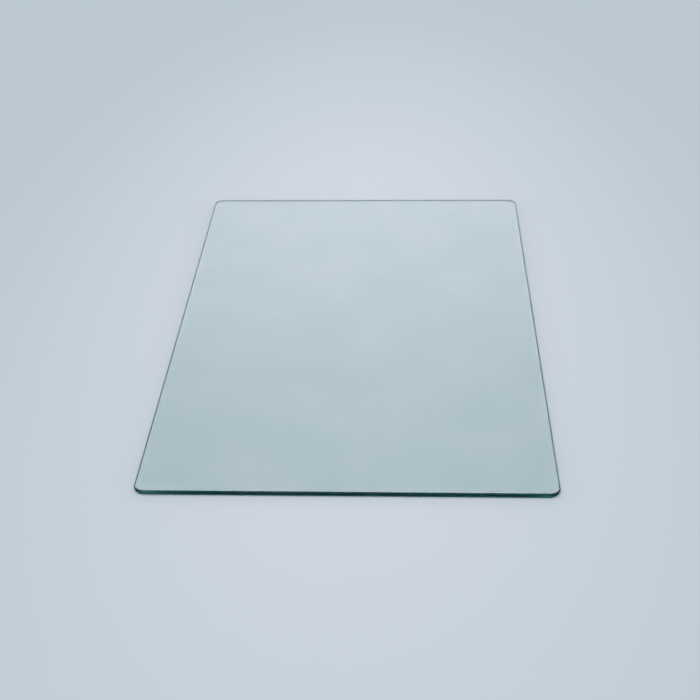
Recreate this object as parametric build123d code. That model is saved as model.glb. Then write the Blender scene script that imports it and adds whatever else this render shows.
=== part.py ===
from build123d import *

import os

# Refrigerator shelf: one pane of toughened float glass. It has two flat faces, rounded corners
# and a pencil-ground edge, a shallow crown that runs unbroken round all four sides.
# +Z is up and the origin is the middle of the underside. X runs across the cabinet, along the
# long side, and Y runs from the front edge to the back edge.

# Driving dimensions, in millimetres
SHELF_WIDTH = 475.0      # long side, over the ground edges
SHELF_DEPTH = 300.0      # short side, over the ground edges
GLASS_THICKNESS = 4.0    # standard float glass
CORNER_RADIUS = 8.5      # corners of the outline, over the ground edges
EDGE_CROWN = 0.8         # how far the ground edge stands out past the flat faces

# Sizes worked out from the driving dimensions
FLAT_WIDTH = SHELF_WIDTH - 2 * EDGE_CROWN
FLAT_DEPTH = SHELF_DEPTH - 2 * EDGE_CROWN
FLAT_CORNER_RADIUS = CORNER_RADIUS - EDGE_CROWN
HALF_THICKNESS = GLASS_THICKNESS / 2

UP = Vector(0, 0, 1)


def flat_outline():
    """Outline of the flat faces, which ends at the arris where the ground edge begins."""
    return RectangleRounded(FLAT_WIDTH, FLAT_DEPTH, FLAT_CORNER_RADIUS)


def crown_section():
    """Half-moon section of the ground edge: X points out of the pane, Y across its thickness."""
    lower_arris = (0, -HALF_THICKNESS)
    crest = (EDGE_CROWN, 0)
    upper_arris = (0, HALF_THICKNESS)
    crown = ThreePointArc(lower_arris, crest, upper_arris)
    chord = Line(upper_arris, lower_arris)
    return make_face(crown + chord)


def flat_slab():
    """The pane as far as its two arrises."""
    return extrude(flat_outline(), GLASS_THICKNESS)


def ground_edge():
    """Crown of the edge, swept once round the outline at half the glass thickness."""
    path = Pos(0, 0, HALF_THICKNESS) * flat_outline().wire()
    along = path % 0
    outward = along.cross(UP)
    across_path = Plane(origin=path @ 0, x_dir=outward, z_dir=along)
    return sweep(across_path * crown_section(), path=path)


def glass_pane():
    """The whole shelf: one piece of glass, slab and ground edge together."""
    return flat_slab() + ground_edge()


os.makedirs("parts", exist_ok=True)
export_step(glass_pane(), "parts/glass_pane.step")
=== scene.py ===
"""Refrigerator shelf: one pane of clear toughened glass that lies on a pale studio floor.

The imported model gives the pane's place and size. This script puts a finer mesh of the same form
in its place, dresses it as float glass with a pencil-ground edge, and sets up the floor, the light
and the camera. All lengths are in metres.
"""

import logging
import math
from dataclasses import dataclass
from enum import Enum

import bmesh
import bpy
from mathutils import Matrix, Vector


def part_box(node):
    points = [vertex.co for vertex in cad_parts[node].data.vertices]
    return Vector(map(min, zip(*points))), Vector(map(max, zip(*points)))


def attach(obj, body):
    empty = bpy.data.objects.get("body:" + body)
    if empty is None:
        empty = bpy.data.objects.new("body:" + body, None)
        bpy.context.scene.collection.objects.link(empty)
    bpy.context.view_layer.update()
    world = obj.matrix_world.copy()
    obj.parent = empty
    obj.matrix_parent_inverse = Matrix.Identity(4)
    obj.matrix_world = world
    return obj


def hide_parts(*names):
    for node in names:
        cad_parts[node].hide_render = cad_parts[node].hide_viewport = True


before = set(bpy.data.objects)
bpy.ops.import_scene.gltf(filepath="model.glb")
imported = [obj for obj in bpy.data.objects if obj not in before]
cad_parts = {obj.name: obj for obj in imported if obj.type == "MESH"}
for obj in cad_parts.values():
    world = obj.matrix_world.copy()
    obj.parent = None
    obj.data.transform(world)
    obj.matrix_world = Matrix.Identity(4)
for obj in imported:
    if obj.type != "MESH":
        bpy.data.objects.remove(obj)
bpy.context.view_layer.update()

PANE_NODE = "glass_pane"
PANE_PIECE = "glass_shelf_pane"
ROOT_BODY = "root"
EDGE_ATTRIBUTE = "ground_edge"
ARRIS_ATTRIBUTE = "arris"
MERGE_DISTANCE = 1e-6

Pair = tuple[float, float]
Triple = tuple[float, float, float]
Socket = bpy.types.NodeSocket
Feed = Socket | float | Triple

RISING: Pair = (0.0, 1.0)
FALLING: Pair = (1.0, 0.0)
WHITE: Triple = (1.0, 1.0, 1.0)
ALL_ROUND = 99.0

log = logging.getLogger("refrigerator_shelf")


class Axis(Enum):
    """Directions across the pane along which its mesh is divided."""

    LONG_SIDE = Vector((1.0, 0.0, 0.0))
    SHORT_SIDE = Vector((0.0, 1.0, 0.0))


class Work(Enum):
    """Ways in which a node works out one number or vector from others."""

    ADD = "ADD"
    TAKE_AWAY = "SUBTRACT"
    MULTIPLY = "MULTIPLY"
    DIVIDE = "DIVIDE"
    MULTIPLY_AND_ADD = "MULTIPLY_ADD"
    LARGER = "MAXIMUM"
    LENGTH = "LENGTH"
    SCALE = "SCALE"


class Ray(Enum):
    """Kinds of light path that the sky tells apart."""

    CAMERA = "Is Camera Ray"
    GLOSSY = "Is Glossy Ray"
    TRANSMISSION = "Is Transmission Ray"


class Bench:
    """Work bench on which one node tree is put together."""

    def __init__(self, tree: bpy.types.NodeTree) -> None:
        """Clears the tree and keeps it."""
        self.tree = tree
        tree.nodes.clear()

    def add(
        self, kind: str, give: str, feeds: dict[str, Feed] | None = None, **settings: object,
    ) -> Socket:
        """Adds a node and feeds its inputs.

        Args:
            kind: Type of the node, without the common beginning of its name.
            give: Identifier of the output that is wanted.
            feeds: For each input, by its identifier, the socket linked to it or the value set on it.
            settings: Properties of the node.

        Returns:
            The wanted output.
        """
        node = self._node(kind, feeds or {}, settings)
        outputs = {socket.identifier: socket for socket in node.outputs}
        return outputs[give]

    def close(self, kind: str, feeds: dict[str, Feed]) -> None:
        """Ends the tree with an output node of the given kind."""
        self._node(kind, feeds, {})

    def number(self, work: Work, *values: Feed, **settings: object) -> Socket:
        """Works out a number from two or three others.

        Args:
            work: How the number is worked out.
            values: The others, in their order.
            settings: More properties of the node.

        Returns:
            The number.
        """
        feeds = dict(zip(("Value", "Value_001", "Value_002"), values))
        return self.add("Math", "Value", feeds, operation=work.value, **settings)

    def vector(self, work: Work, first: Feed, second: Feed) -> Socket:
        """Works out a vector or a colour from two others, part by part.

        Args:
            work: How it is worked out.
            first: First vector or colour.
            second: Second vector or colour.

        Returns:
            The vector or colour.
        """
        feeds = {"Vector": first, "Vector_001": second}
        return self.add("VectorMath", "Vector", feeds, operation=work.value)

    def scale(self, value: Feed, share: Socket) -> Socket:
        """Scales a colour or a vector by a number."""
        feeds = {"Vector": value, "Scale": share}
        return self.add("VectorMath", "Vector", feeds, operation=Work.SCALE.value)

    def mix(self, share: Socket, first: Feed, second: Feed) -> Socket:
        """Blends two colours.

        Args:
            share: Share of the second colour.
            first: First colour.
            second: Second colour.

        Returns:
            The blended colour.
        """
        feeds = {"Factor_Float": share, "A_Color": first, "B_Color": second}
        return self.add("Mix", "Result_Color", feeds, data_type="RGBA")

    def ramp(self, value: Socket, source: Pair, target: Pair, soft: bool = False) -> Socket:
        """Maps one range of numbers to another.

        Args:
            value: Number to map.
            source: Range that the number comes from.
            target: Range that it goes to.
            soft: Whether the change eases in and out.

        Returns:
            The mapped number, kept inside the target range.
        """
        feeds = {
            "Value": value,
            "From Min": source[0], "From Max": source[1],
            "To Min": target[0], "To Max": target[1],
        }
        easing = "SMOOTHSTEP" if soft else "LINEAR"
        return self.add("MapRange", "Result", feeds, interpolation_type=easing)

    def fade(self, point: Socket, centre: Triple, reach: Triple) -> Socket:
        """Fades softly from a centre outwards.

        Args:
            point: Point or direction at which the fade is read.
            centre: Middle of the fade.
            reach: Distance along each axis at which it has faded out.

        Returns:
            A number that falls from 1 in the middle to 0 at the full reach.
        """
        off = self.vector(Work.TAKE_AWAY, point, centre)
        share = self.vector(Work.DIVIDE, off, reach)
        away = self.add("VectorMath", "Value", {"Vector": share}, operation=Work.LENGTH.value)
        return self.ramp(away, FALLING, RISING, soft=True)

    def _node(self, kind: str, feeds: dict[str, Feed], settings: dict[str, object]) -> bpy.types.Node:
        """Adds a node, sets its properties and feeds its inputs.

        Args:
            kind: Type of the node, without the common beginning of its name.
            feeds: For each input, the socket linked to it or the value set on it.
            settings: Properties of the node.

        Returns:
            The node.
        """
        node = self.tree.nodes.new("ShaderNode" + kind)
        for name, value in settings.items():
            setattr(node, name, value)
        inputs = {socket.identifier: socket for socket in node.inputs}
        for name, feed in feeds.items():
            if isinstance(feed, Socket):
                self.tree.links.new(feed, inputs[name])
            elif inputs[name].type == "RGBA":
                inputs[name].default_value = (*feed, 1.0)
            else:
                inputs[name].default_value = feed
        return node


def make_object(shape: bmesh.types.BMesh, name: str) -> bpy.types.Object:
    """Turns a shape into an object of the scene.

    Args:
        shape: The shape, which is freed.
        name: Name of the object and of its mesh.

    Returns:
        The object.
    """
    mesh = bpy.data.meshes.new(name)
    shape.to_mesh(mesh)
    shape.free()
    made = bpy.data.objects.new(name, mesh)
    bpy.context.scene.collection.objects.link(made)
    return made


@dataclass(frozen=True)
class FacePolish:
    """Finish of the two flat faces: fire-polished, with the faint film of a wiped shelf. The filmed
    patches also darken the floor seen through the pane, as painted shade of the pane.

    Attributes:
        clear: Colour that a clean patch lets through.
        filmed_and_shaded: Colour that a filmed patch lets through: partly the real film, partly
            painted shade of the pane on the floor beneath.
        patches: Number of patches in a metre.
        detail: How many times each patch is broken up into smaller ones.
        film: Levels of the cloud noise between which clean turns to filmed.
    """

    clear: Triple = (1.0, 1.0, 0.992)
    filmed_and_shaded: Triple = (0.96, 0.982, 0.962)
    patches: float = 16.0
    detail: float = 5.0
    film: Pair = (0.38, 0.62)

    def tint(self, bench: Bench, where: Socket) -> Socket:
        """Works out the colour that a face lets through, darker in the filmed patches as real film and
        painted shade.

        Args:
            bench: Bench of the glass material.
            where: Point on the pane.

        Returns:
            The colour.
        """
        feeds = {"Vector": where, "Scale": self.patches, "Detail": self.detail}
        cloud = bench.add("TexNoise", "Fac", feeds)
        film = bench.ramp(cloud, self.film, RISING)
        # painted shade: besides showing the film, the filmed patches darken the floor seen through the
        # pane
        return bench.mix(film, self.clear, self.filmed_and_shaded)


@dataclass(frozen=True)
class GroundEdge:
    """Finish of the edge: satin, with fine lines that the grinding wheel leaves along it. Its tint is
    darkened as painted shade, darkest at the crest.

    Attributes:
        light: Colour that the edge lets through between the lines, darkened as painted shade.
        dark: Colour that it lets through in a line, darkened as painted shade.
        smooth: Roughness between the lines.
        coarse: Roughness in a line.
        crest: Share of its light that the crest lets through, as painted shade that darkens the middle
            of the edge.
        arris: Roughness that the arrises have on top of the lines, where the wheel runs out.
        run_out: Stretch over which crest turns to arris, as shares of the way between them.
        shine: What the ground surface keeps of the mirror reflection of polished glass.
        lines: Number of lines in a metre, along each axis.
        detail: How many times each line is broken up into finer ones.
        depth: Depth of the lines.
    """

    light: Triple = (0.85, 0.93, 0.94)
    dark: Triple = (0.75, 0.87, 0.90)
    smooth: float = 0.12
    coarse: float = 0.18
    crest: float = 0.75
    arris: float = 0.7
    run_out: Pair = (0.3, 1.0)
    shine: Triple = (0.16, 0.16, 0.16)
    lines: Triple = (30.0, 30.0, 6000.0)
    detail: float = 3.0
    depth: float = 0.000002

    def grain(self, bench: Bench, where: Socket) -> Socket:
        """Works out the grinding lines.

        Args:
            bench: Bench of the glass material.
            where: Point on the pane.

        Returns:
            A number from 0 between the lines to 1 in a line.
        """
        along = bench.vector(Work.MULTIPLY, where, self.lines)
        return bench.add("TexNoise", "Fac", {"Vector": along, "Scale": 1.0, "Detail": self.detail})

    def outward(self, bench: Bench) -> Socket:
        """Works out the way from the crest of the edge, which is 0, to its arrises, which are 1."""
        height = bench.add("Attribute", "Fac", attribute_name=ARRIS_ATTRIBUTE)
        return bench.ramp(height, self.run_out, RISING)

    def tint(self, bench: Bench, grain: Socket, outward: Socket) -> Socket:
        """Works out the colour that the edge lets through, darkened as painted shade and darkest at
        the crest.

        Args:
            bench: Bench of the glass material.
            grain: The grinding lines.
            outward: The way from the crest to an arris.

        Returns:
            The colour.
        """
        # painted shade: the crest lets through less light than the arrises
        share = bench.ramp(outward, RISING, (self.crest, 1.0))
        return bench.scale(bench.mix(grain, self.light, self.dark), share)

    def roughness(self, bench: Bench, grain: Socket, outward: Socket) -> Socket:
        """Works out the roughness of the edge.

        Args:
            bench: Bench of the glass material.
            grain: The grinding lines.
            outward: The way from the crest to an arris.

        Returns:
            The roughness.
        """
        lines = bench.ramp(grain, RISING, (self.smooth, self.coarse))
        return bench.number(Work.MULTIPLY_AND_ADD, outward, self.arris, lines)


@dataclass(frozen=True)
class FloatGlass:
    """Clear float glass, a little green through its depth.

    Attributes:
        index: Refractive index.
        body_colour: Colour that the glass lets through.
        body_density: How strongly it takes up the rest, per metre.
        face: Finish of the flat faces.
        edge: Finish of the edge.
    """

    index: float = 1.52
    body_colour: Triple = (0.22, 0.75, 0.745)
    body_density: float = 20.0
    face: FacePolish = FacePolish()
    edge: GroundEdge = GroundEdge()

    def material(self) -> bpy.types.Material:
        """Builds the material.

        Returns:
            The finished glass.
        """
        glass = bpy.data.materials.new("float_glass")
        glass.use_nodes = True
        bench = Bench(glass.node_tree)
        where = bench.add("TexCoord", "Object")
        ground = bench.add("Attribute", "Fac", attribute_name=EDGE_ATTRIBUTE)
        grain = self.edge.grain(bench, where)
        outward = self.edge.outward(bench)
        edge_tint = self.edge.tint(bench, grain, outward)
        edge_roughness = self.edge.roughness(bench, grain, outward)
        height = bench.number(Work.MULTIPLY, ground, grain)
        surface = bench.add("BsdfPrincipled", "BSDF", {
            "Base Color": bench.mix(ground, self.face.tint(bench, where), edge_tint),
            "Roughness": bench.number(Work.MULTIPLY, ground, edge_roughness),
            "Specular Tint": bench.mix(ground, WHITE, self.edge.shine),
            "Normal": bench.add("Bump", "Normal", {"Height": height, "Distance": self.edge.depth}),
            "Transmission Weight": 1.0,
            "IOR": self.index,
        })
        depth = {"Color": self.body_colour, "Density": self.body_density}
        body = bench.add("VolumeAbsorption", "Volume", depth)
        bench.close("OutputMaterial", {"Surface": surface, "Volume": body})
        return glass


@dataclass(frozen=True)
class PencilEdge:
    """Crown that the grinding wheel leaves on the edge of the pane.

    Attributes:
        thickness: Thickness of the glass.
        crown: How far the crest of the edge stands out past the flat faces.
        steps: Number of facets from the crest to one arris.
    """

    thickness: float
    crown: float = 0.0008
    steps: int = 14

    @property
    def radius(self) -> float:
        """Radius of the crown's arc."""
        half = self.thickness / 2
        return (self.crown ** 2 + half ** 2) / (2 * self.crown)

    @property
    def sweep(self) -> float:
        """Angle of the arc from the crest to one arris."""
        return math.asin(self.thickness / 2 / self.radius)

    def facets(self) -> list[Pair]:
        """Works out the facets from the crest up to the arris.

        Returns:
            One pair for each facet: how far it steps inwards and how far it rises.
        """
        angles = [self.sweep * step / self.steps for step in range(self.steps + 1)]
        return [
            (
                self.radius * (math.cos(low) - math.cos(high)),
                self.radius * (math.sin(high) - math.sin(low)),
            )
            for low, high in zip(angles, angles[1:])
        ]


@dataclass
class GlassPane:
    """The shelf itself: a rectangular pane with rounded corners and a pencil-ground edge.

    Attributes:
        low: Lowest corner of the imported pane.
        high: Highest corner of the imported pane.
        glass: Finish of the pane.
        corner_radius: Radius of the outline's corners, over the ground edge.
        corner_steps: Number of facets round one corner.
        cell: Spacing of the divisions across the pane.
        flat_angle: Tilt up to which a face still counts as flat.
        crisp_angle: Angle between two faces from which the line between them stays crisp.
    """

    low: Vector
    high: Vector
    glass: FloatGlass = FloatGlass()
    corner_radius: float = 0.0085
    corner_steps: int = 20
    cell: float = 0.0125
    flat_angle: float = math.radians(2.0)
    crisp_angle: float = math.radians(15.0)

    @property
    def size(self) -> Vector:
        """Length of the pane along each axis."""
        return self.high - self.low

    def build(self) -> bpy.types.Object:
        """Makes the pane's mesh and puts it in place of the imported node.

        Returns:
            The pane, still undressed.
        """
        pane = bmesh.new()
        self._outline(pane)
        self._crown(pane, PencilEdge(self.size.z))
        self._lower_half(pane)
        self._divide(pane)
        self._mark_edge(pane)
        bmesh.ops.translate(pane, vec=(self.low + self.high) / 2, verts=pane.verts)
        shelf = make_object(pane, PANE_PIECE)
        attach(shelf, ROOT_BODY)
        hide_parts(PANE_NODE)
        return shelf

    def dress(self, shelf: bpy.types.Object) -> None:
        """Gives the pane its glass."""
        shelf.data.materials.append(self.glass.material())

    def _outline(self, pane: bmesh.types.BMesh) -> None:
        """Draws the pane's outline at half its thickness, with rounded corners.

        Args:
            pane: The empty shape of the pane.
        """
        bmesh.ops.create_grid(pane, x_segments=1, y_segments=1, size=0.5)
        bmesh.ops.scale(pane, vec=(self.size.x, self.size.y, 1.0), verts=pane.verts)
        bmesh.ops.bevel(
            pane, geom=pane.verts[:], offset=self.corner_radius, segments=self.corner_steps,
            profile=0.5, affect="VERTICES", material=-1,
        )

    def _crown(self, pane: bmesh.types.BMesh, edge: PencilEdge) -> None:
        """Raises the upper half of the ground edge from the outline, facet by facet.

        Args:
            pane: The pane as its flat outline.
            edge: The ground edge.
        """
        for inwards, rise in edge.facets():
            top = max(pane.faces, key=lambda face: face.calc_area())
            bmesh.ops.inset_region(
                pane, faces=[top], thickness=inwards, depth=rise,
                use_boundary=True, use_even_offset=True,
            )

    def _lower_half(self, pane: bmesh.types.BMesh) -> None:
        """Mirrors the upper half to make the lower one, and closes the seam along the crest.

        Args:
            pane: The pane as its upper half.
        """
        upper = pane.verts[:] + pane.edges[:] + pane.faces[:]
        bmesh.ops.mirror(pane, geom=upper, axis="Z", merge_dist=MERGE_DISTANCE)
        bmesh.ops.remove_doubles(pane, verts=pane.verts, dist=MERGE_DISTANCE)
        bmesh.ops.recalc_face_normals(pane, faces=pane.faces)

    def _divide(self, pane: bmesh.types.BMesh) -> None:
        """Divides the flat faces and the straight edges into even cells.

        Args:
            pane: The closed pane.
        """
        for axis, length in ((Axis.LONG_SIDE, self.size.x), (Axis.SHORT_SIDE, self.size.y)):
            straight = length - 2 * self.corner_radius
            cells = round(straight / self.cell)
            for cut in range(cells + 1):
                bmesh.ops.bisect_plane(
                    pane, geom=pane.verts[:] + pane.edges[:] + pane.faces[:], dist=MERGE_DISTANCE,
                    plane_co=axis.value * (straight * (cut / cells - 0.5)), plane_no=axis.value,
                )

    def _mark_edge(self, pane: bmesh.types.BMesh) -> None:
        """Marks the ground faces, smooths them and keeps the arrises crisp.

        Args:
            pane: The divided pane, with its middle at the origin.
        """
        flat_limit = math.cos(self.flat_angle)
        ground = pane.faces.layers.float.new(EDGE_ATTRIBUTE)
        arris = pane.faces.layers.float.new(ARRIS_ATTRIBUTE)
        for face in pane.faces:
            face.smooth = True
            face[ground] = float(abs(face.normal.z) < flat_limit)
            face[arris] = abs(face.calc_center_median().z) / (self.size.z / 2)
        for line in pane.edges:
            line.smooth = line.calc_face_angle(0.0) < self.crisp_angle


@dataclass(frozen=True)
class Floor:
    """Pale matt floor under the shelf, with a painted pool of light round it.

    Attributes:
        colour: Colour of the floor round the shelf, in the middle of the painted pool of light.
        painted_shade_rim: Colour of the floor farther out, darker as painted shade where the painted
            pool of light fades.
        painted_light_pool_centre: Middle of the painted pool of light.
        painted_light_pool_reach: How far the painted pool of light spreads along each axis.
        drop: How far the floor lies below the shelf.
        reach: Half the length of the floor.
        roughness: Roughness of the paint.
        gloss: Strength of its mirror reflection.
    """

    colour: Triple = (0.635, 0.684, 0.759)
    painted_shade_rim: Triple = (0.488, 0.568, 0.622)
    painted_light_pool_centre: Triple = (-0.06, 0.0, 0.0)
    painted_light_pool_reach: Triple = (1.0, 0.42, 1.0)
    drop: float = 0.0003
    reach: float = 12.0
    roughness: float = 1.0
    gloss: float = 0.0

    def build(self) -> bpy.types.Object:
        """Lays a plain sheet under the shelf.

        Returns:
            The floor, still unpainted.
        """
        sheet = bmesh.new()
        bmesh.ops.create_grid(sheet, x_segments=1, y_segments=1, size=self.reach)
        bmesh.ops.translate(sheet, vec=(0.0, 0.0, -self.drop), verts=sheet.verts)
        floor = make_object(sheet, "floor")
        return floor

    def dress(self, floor: bpy.types.Object) -> None:
        """Gives the floor its paint, with its painted pool of light."""
        floor.data.materials.append(self._paint())

    def _paint(self) -> bpy.types.Material:
        """Builds the paint, with a painted pool of light that fades out to darker floor.

        Returns:
            The finished paint.
        """
        paint = bpy.data.materials.new("pale_floor")
        paint.use_nodes = True
        bench = Bench(paint.node_tree)
        # painted pool of light: the floor's colour is lighter round the shelf and fades out to the
        # darker rim
        painted_light_pool = bench.fade(bench.add("TexCoord", "Object"), self.painted_light_pool_centre, self.painted_light_pool_reach)
        surface = bench.add("BsdfPrincipled", "BSDF", {
            "Base Color": bench.mix(painted_light_pool, self.painted_shade_rim, self.colour),
            "Roughness": self.roughness,
            "Specular IOR Level": self.gloss,
        })
        bench.close("OutputMaterial", {"Surface": surface})
        return paint


@dataclass(frozen=True)
class Glow:
    """One soft patch of light in the studio's sky.

    Attributes:
        centre: Direction of its middle.
        reach: How far it spreads along each axis before it has faded out.
        level: Brightness of its middle.
        mirrored: Share of its light that a mirror image of it in the glass keeps.
    """

    centre: Triple
    reach: Triple
    level: Triple
    mirrored: float = 1.0

    def light(self, bench: Bench, towards: Socket, mirror: Socket) -> Socket:
        """Works out the patch's light from one direction.

        Args:
            bench: Bench of the sky.
            towards: Direction.
            mirror: 1 for light that comes by way of a mirror image, 0 for all other light.

        Returns:
            The light.
        """
        kept = bench.number(Work.MULTIPLY_AND_ADD, mirror, self.mirrored - 1.0, 1.0)
        glow = bench.scale(self.level, bench.fade(towards, self.centre, self.reach))
        return bench.scale(glow, kept)


OVERHEAD = Glow(
    centre=(0.15, 0.0, 0.99), reach=(0.9, 0.9, 0.95), level=(3.478, 3.478, 3.478), mirrored=0.0,
)
RING = Glow(
    centre=(0.0, 0.0, 0.12), reach=(ALL_ROUND, ALL_ROUND, 0.5), level=(1.1, 1.1, 1.1), mirrored=0.65,
)
FAR_SIDE = Glow(centre=(-0.906, 0.0, 0.4), reach=(1.0, 0.9, 0.24), level=(0.62, 0.545, 0.59))


@dataclass(frozen=True)
class Sky:
    """Soft light of the studio, and the backdrop beyond the floor.

    Attributes:
        fill: Light that comes evenly from everywhere.
        glows: Soft patches of light: overhead, all round and beyond the far edge.
        backdrop: Colour of the backdrop, to the eye, in the glass and through it.
        backdrop_top: Heights between which the backdrop ends, as shares of straight up.
    """

    fill: Triple = (0.088, 0.088, 0.088)
    glows: tuple[Glow, ...] = (OVERHEAD, RING, FAR_SIDE)
    backdrop: Triple = (0.502, 0.584, 0.64)
    backdrop_top: Pair = (0.26, 0.4)

    def build(self) -> bpy.types.World:
        """Makes the world that lights the studio.

        Returns:
            The world.
        """
        world = bpy.data.worlds.new("studio")
        bpy.context.scene.world = world
        world.use_nodes = True
        bench = Bench(world.node_tree)
        towards = bench.add("TexCoord", "Generated")
        paths = {ray: bench.add("LightPath", ray.value) for ray in Ray}
        light = self._light(bench, towards, paths)
        share = self._backdrop_share(bench, towards, paths)
        seen = bench.mix(share, light, self.backdrop)
        bench.close("OutputWorld", {"Surface": bench.add("Background", "Background", {"Color": seen})})
        return world

    def _light(self, bench: Bench, towards: Socket, paths: dict[Ray, Socket]) -> Feed:
        """Adds up the light that comes from one direction.

        Args:
            bench: Bench of the sky.
            towards: Direction.
            paths: For each kind of light path, 1 on that path and 0 on others.

        Returns:
            The light.
        """
        glossy, through = paths[Ray.GLOSSY], paths[Ray.TRANSMISSION]
        mirror = bench.number(Work.TAKE_AWAY, glossy, through, use_clamp=True)
        total: Feed = self.fill
        for glow in self.glows:
            total = bench.vector(Work.ADD, total, glow.light(bench, towards, mirror))
        return total

    def _backdrop_share(self, bench: Bench, towards: Socket, paths: dict[Ray, Socket]) -> Socket:
        """Works out how far the backdrop stands before the light in one direction.

        Args:
            bench: Bench of the sky.
            towards: Direction.
            paths: For each kind of light path, 1 on that path and 0 on others.

        Returns:
            A number from 0, where only the light is, to 1, where only the backdrop is.
        """
        rise = bench.add("SeparateXYZ", "Z", {"Vector": towards})
        low = bench.ramp(rise, self.backdrop_top, FALLING, soft=True)
        direct = bench.number(Work.LARGER, paths[Ray.CAMERA], paths[Ray.GLOSSY])
        in_sight = bench.number(Work.LARGER, direct, paths[Ray.TRANSMISSION])
        return bench.number(Work.MULTIPLY, in_sight, low)


@dataclass(frozen=True)
class Camera:
    """Camera at the viewing angle of the photograph, as fitted to the pane's four edges.

    Attributes:
        station: Where the camera stands.
        pitch: How far it looks down.
        yaw: How far it looks to one side of the pane's long axis.
        roll: How far it is turned about its line of sight.
        lens: Focal length, in millimetres.
        sensor: Width of the sensor, in millimetres.
    """

    station: Vector = Vector((0.966514, 0.042364, 0.571824))
    pitch: float = math.radians(31.7178)
    yaw: float = math.radians(-2.8923)
    roll: float = math.radians(-1.3039)
    lens: float = 67.926
    sensor: float = 36.0

    def build(self) -> bpy.types.Object:
        """Makes the camera and sets it as the scene's own.

        Returns:
            The camera.
        """
        ahead = Vector((-math.cos(self.yaw), math.sin(self.yaw), 0.0))
        sight = ahead * math.cos(self.pitch) - Vector((0.0, 0.0, math.sin(self.pitch)))
        level = Vector((math.sin(self.yaw), math.cos(self.yaw), 0.0))
        upright = level.cross(sight)
        right = level * math.cos(self.roll) + upright * math.sin(self.roll)
        up = upright * math.cos(self.roll) - level * math.sin(self.roll)
        data = bpy.data.cameras.new("camera")
        data.lens = self.lens
        data.sensor_width = self.sensor
        camera = bpy.data.objects.new("camera", data)
        turn = Matrix((right, up, -sight)).transposed().to_4x4()
        camera.matrix_world = Matrix.Translation(self.station) @ turn
        bpy.context.scene.collection.objects.link(camera)
        bpy.context.scene.camera = camera
        return camera


@dataclass(frozen=True)
class LightPaths:
    """How far light is followed: the length of the pane, from edge to edge, as in the real glass.

    Attributes:
        total: Most bounces of all kinds.
        glossy: Most mirror bounces.
        transmission: Most passes through a surface of the glass.
        diffuse: Most bounces off matt surfaces.
        blur: How far sharp reflections are blurred.
    """

    total: int = 128
    glossy: int = 128
    transmission: int = 64
    diffuse: int = 6
    blur: float = 0.0

    def apply(self) -> None:
        """Sets the limits on the scene."""
        cycles = bpy.context.scene.cycles
        cycles.max_bounces = self.total
        cycles.glossy_bounces = self.glossy
        cycles.transmission_bounces = self.transmission
        cycles.diffuse_bounces = self.diffuse
        cycles.blur_glossy = self.blur


def main() -> None:
    """Builds the pane, the floor, the light and the camera in order, and reports each one."""
    logging.basicConfig(level=logging.INFO, format="%(name)s: %(message)s")
    bpy.context.scene.view_settings.view_transform = "Standard"
    pane = GlassPane(*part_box(PANE_NODE))
    shelf = pane.build()
    pane.dress(shelf)
    log.info("%s: %d faces, rides on %s", shelf.name, len(shelf.data.polygons), ROOT_BODY)
    ground = Floor()
    floor = ground.build()
    ground.dress(floor)
    log.info("%s: laid and painted", floor.name)
    world = Sky().build()
    log.info("%s: lit", world.name)
    camera = Camera().build()
    log.info("%s: set up", camera.name)
    LightPaths().apply()


if __name__ == "__main__":
    main()
